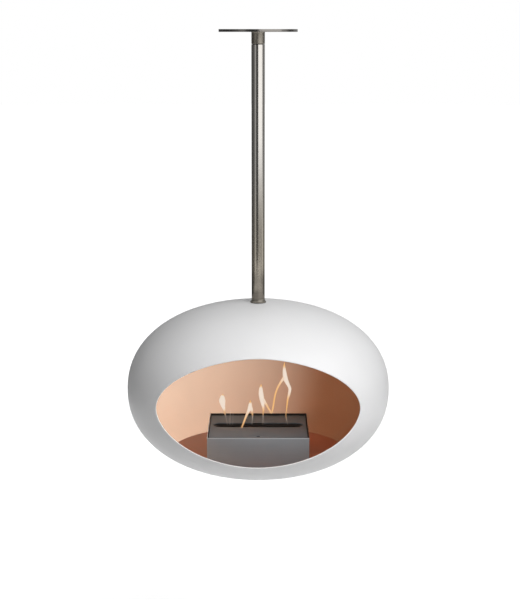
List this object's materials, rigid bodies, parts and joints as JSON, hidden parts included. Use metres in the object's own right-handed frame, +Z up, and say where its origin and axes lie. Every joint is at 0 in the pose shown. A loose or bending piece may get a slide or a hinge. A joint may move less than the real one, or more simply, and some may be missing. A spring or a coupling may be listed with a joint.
{
  "type": "hanging fireplace",
  "caption": "Ceiling-hung ethanol fireplace: a flattened white ball with an oval mouth and a copper-coloured firebox, turning on a steel pole, with a slot burner inside.",
  "frame": {"origin": "middle of the ceiling plate's upper face, where it meets the ceiling", "axes": "+Z up along the pole, -Y towards the mouth of the firebox, +X to the right as the mouth is seen"},
  "size_m": [0.6, 0.5472, 1.0097],
  "materials": {
    "white_paint": "satin white powder coat",
    "copper_coat": "satin copper-coloured metallic coat",
    "brushed_steel": "fine brushed stainless steel",
    "turned_steel": "turned steel, dull",
    "grey_steel": "grey satin steel sheet",
    "dark_steel": "black-finished steel",
    "zinc_steel": "zinc-plated or plain stainless sheet",
    "bronze": "sintered bronze",
    "dark_polymer": "black heat-proof polymer",
    "ceramic_fibre": "felted ceramic fibre"
  },
  "bodies": {
    "ceiling": {"ceiling_plate": "brushed_steel", "ceiling_stub": "turned_steel", "swivel_bolt": "dark_steel", "swivel_washer": "dark_polymer"},
    "fireplace": {"swivel_bush": "bronze", "thrust_washer": "bronze", "pole_top_plug": "turned_steel", "pole_tube": "brushed_steel", "pole_collar": "brushed_steel", "collar_gasket": "dark_polymer", "pole_set_screw_1": "dark_steel", "pole_set_screw_2": "dark_steel", "pole_set_screw_3": "dark_steel", "pole_set_screw_4": "dark_steel", "shell_upper": "white_paint", "shell_lower": "white_paint", "liner_upper": "copper_coat", "liner_lower": "copper_coat", "spreader_plate": "zinc_steel", "hanger_washer": "zinc_steel", "hanger_bolt": "zinc_steel", "hanger_cap": "copper_coat", "floor_plate": "copper_coat", "floor_bracket_1": "dark_steel", "floor_bracket_2": "dark_steel", "floor_bracket_3": "dark_steel", "floor_screw_1": "dark_steel", "floor_screw_2": "dark_steel", "floor_screw_3": "dark_steel"},
    "burner": {"burner_casing": "grey_steel", "burner_foot_1": "dark_polymer", "burner_foot_2": "dark_polymer", "burner_foot_3": "dark_polymer", "burner_foot_4": "dark_polymer", "lid_rail_front": "dark_steel", "lid_rail_back": "dark_steel", "tank_bearer_front": "dark_steel", "tank_bearer_back": "dark_steel", "fuel_tank": "zinc_steel", "fibre_block": "ceramic_fibre", "wick_screen": "dark_steel", "damper_guide_left": "zinc_steel", "damper_guide_right": "zinc_steel"},
    "lid": {"burner_lid": "grey_steel"},
    "damper": {"damper_plate": "dark_steel"}
  },
  "joints": [
    {"name": "pole_swivel", "type": "hinge", "parent": "ceiling", "child": "fireplace", "pos_m": [0, 0, -0.0334], "axis": [0, 0, 1], "continuous": true},
    {"name": "burner_lift", "type": "slide", "parent": "fireplace", "child": "burner", "axis": [0, 0, 1], "range_m": [0, 0.06]},
    {"name": "lid_lift", "type": "slide", "parent": "burner", "child": "lid", "axis": [0, 0, 1], "range_m": [0, 0.04]},
    {"name": "damper_slide", "type": "slide", "parent": "burner", "child": "damper", "axis": [0, -1, 0], "range_m": [0, 0.034]}
  ]
}
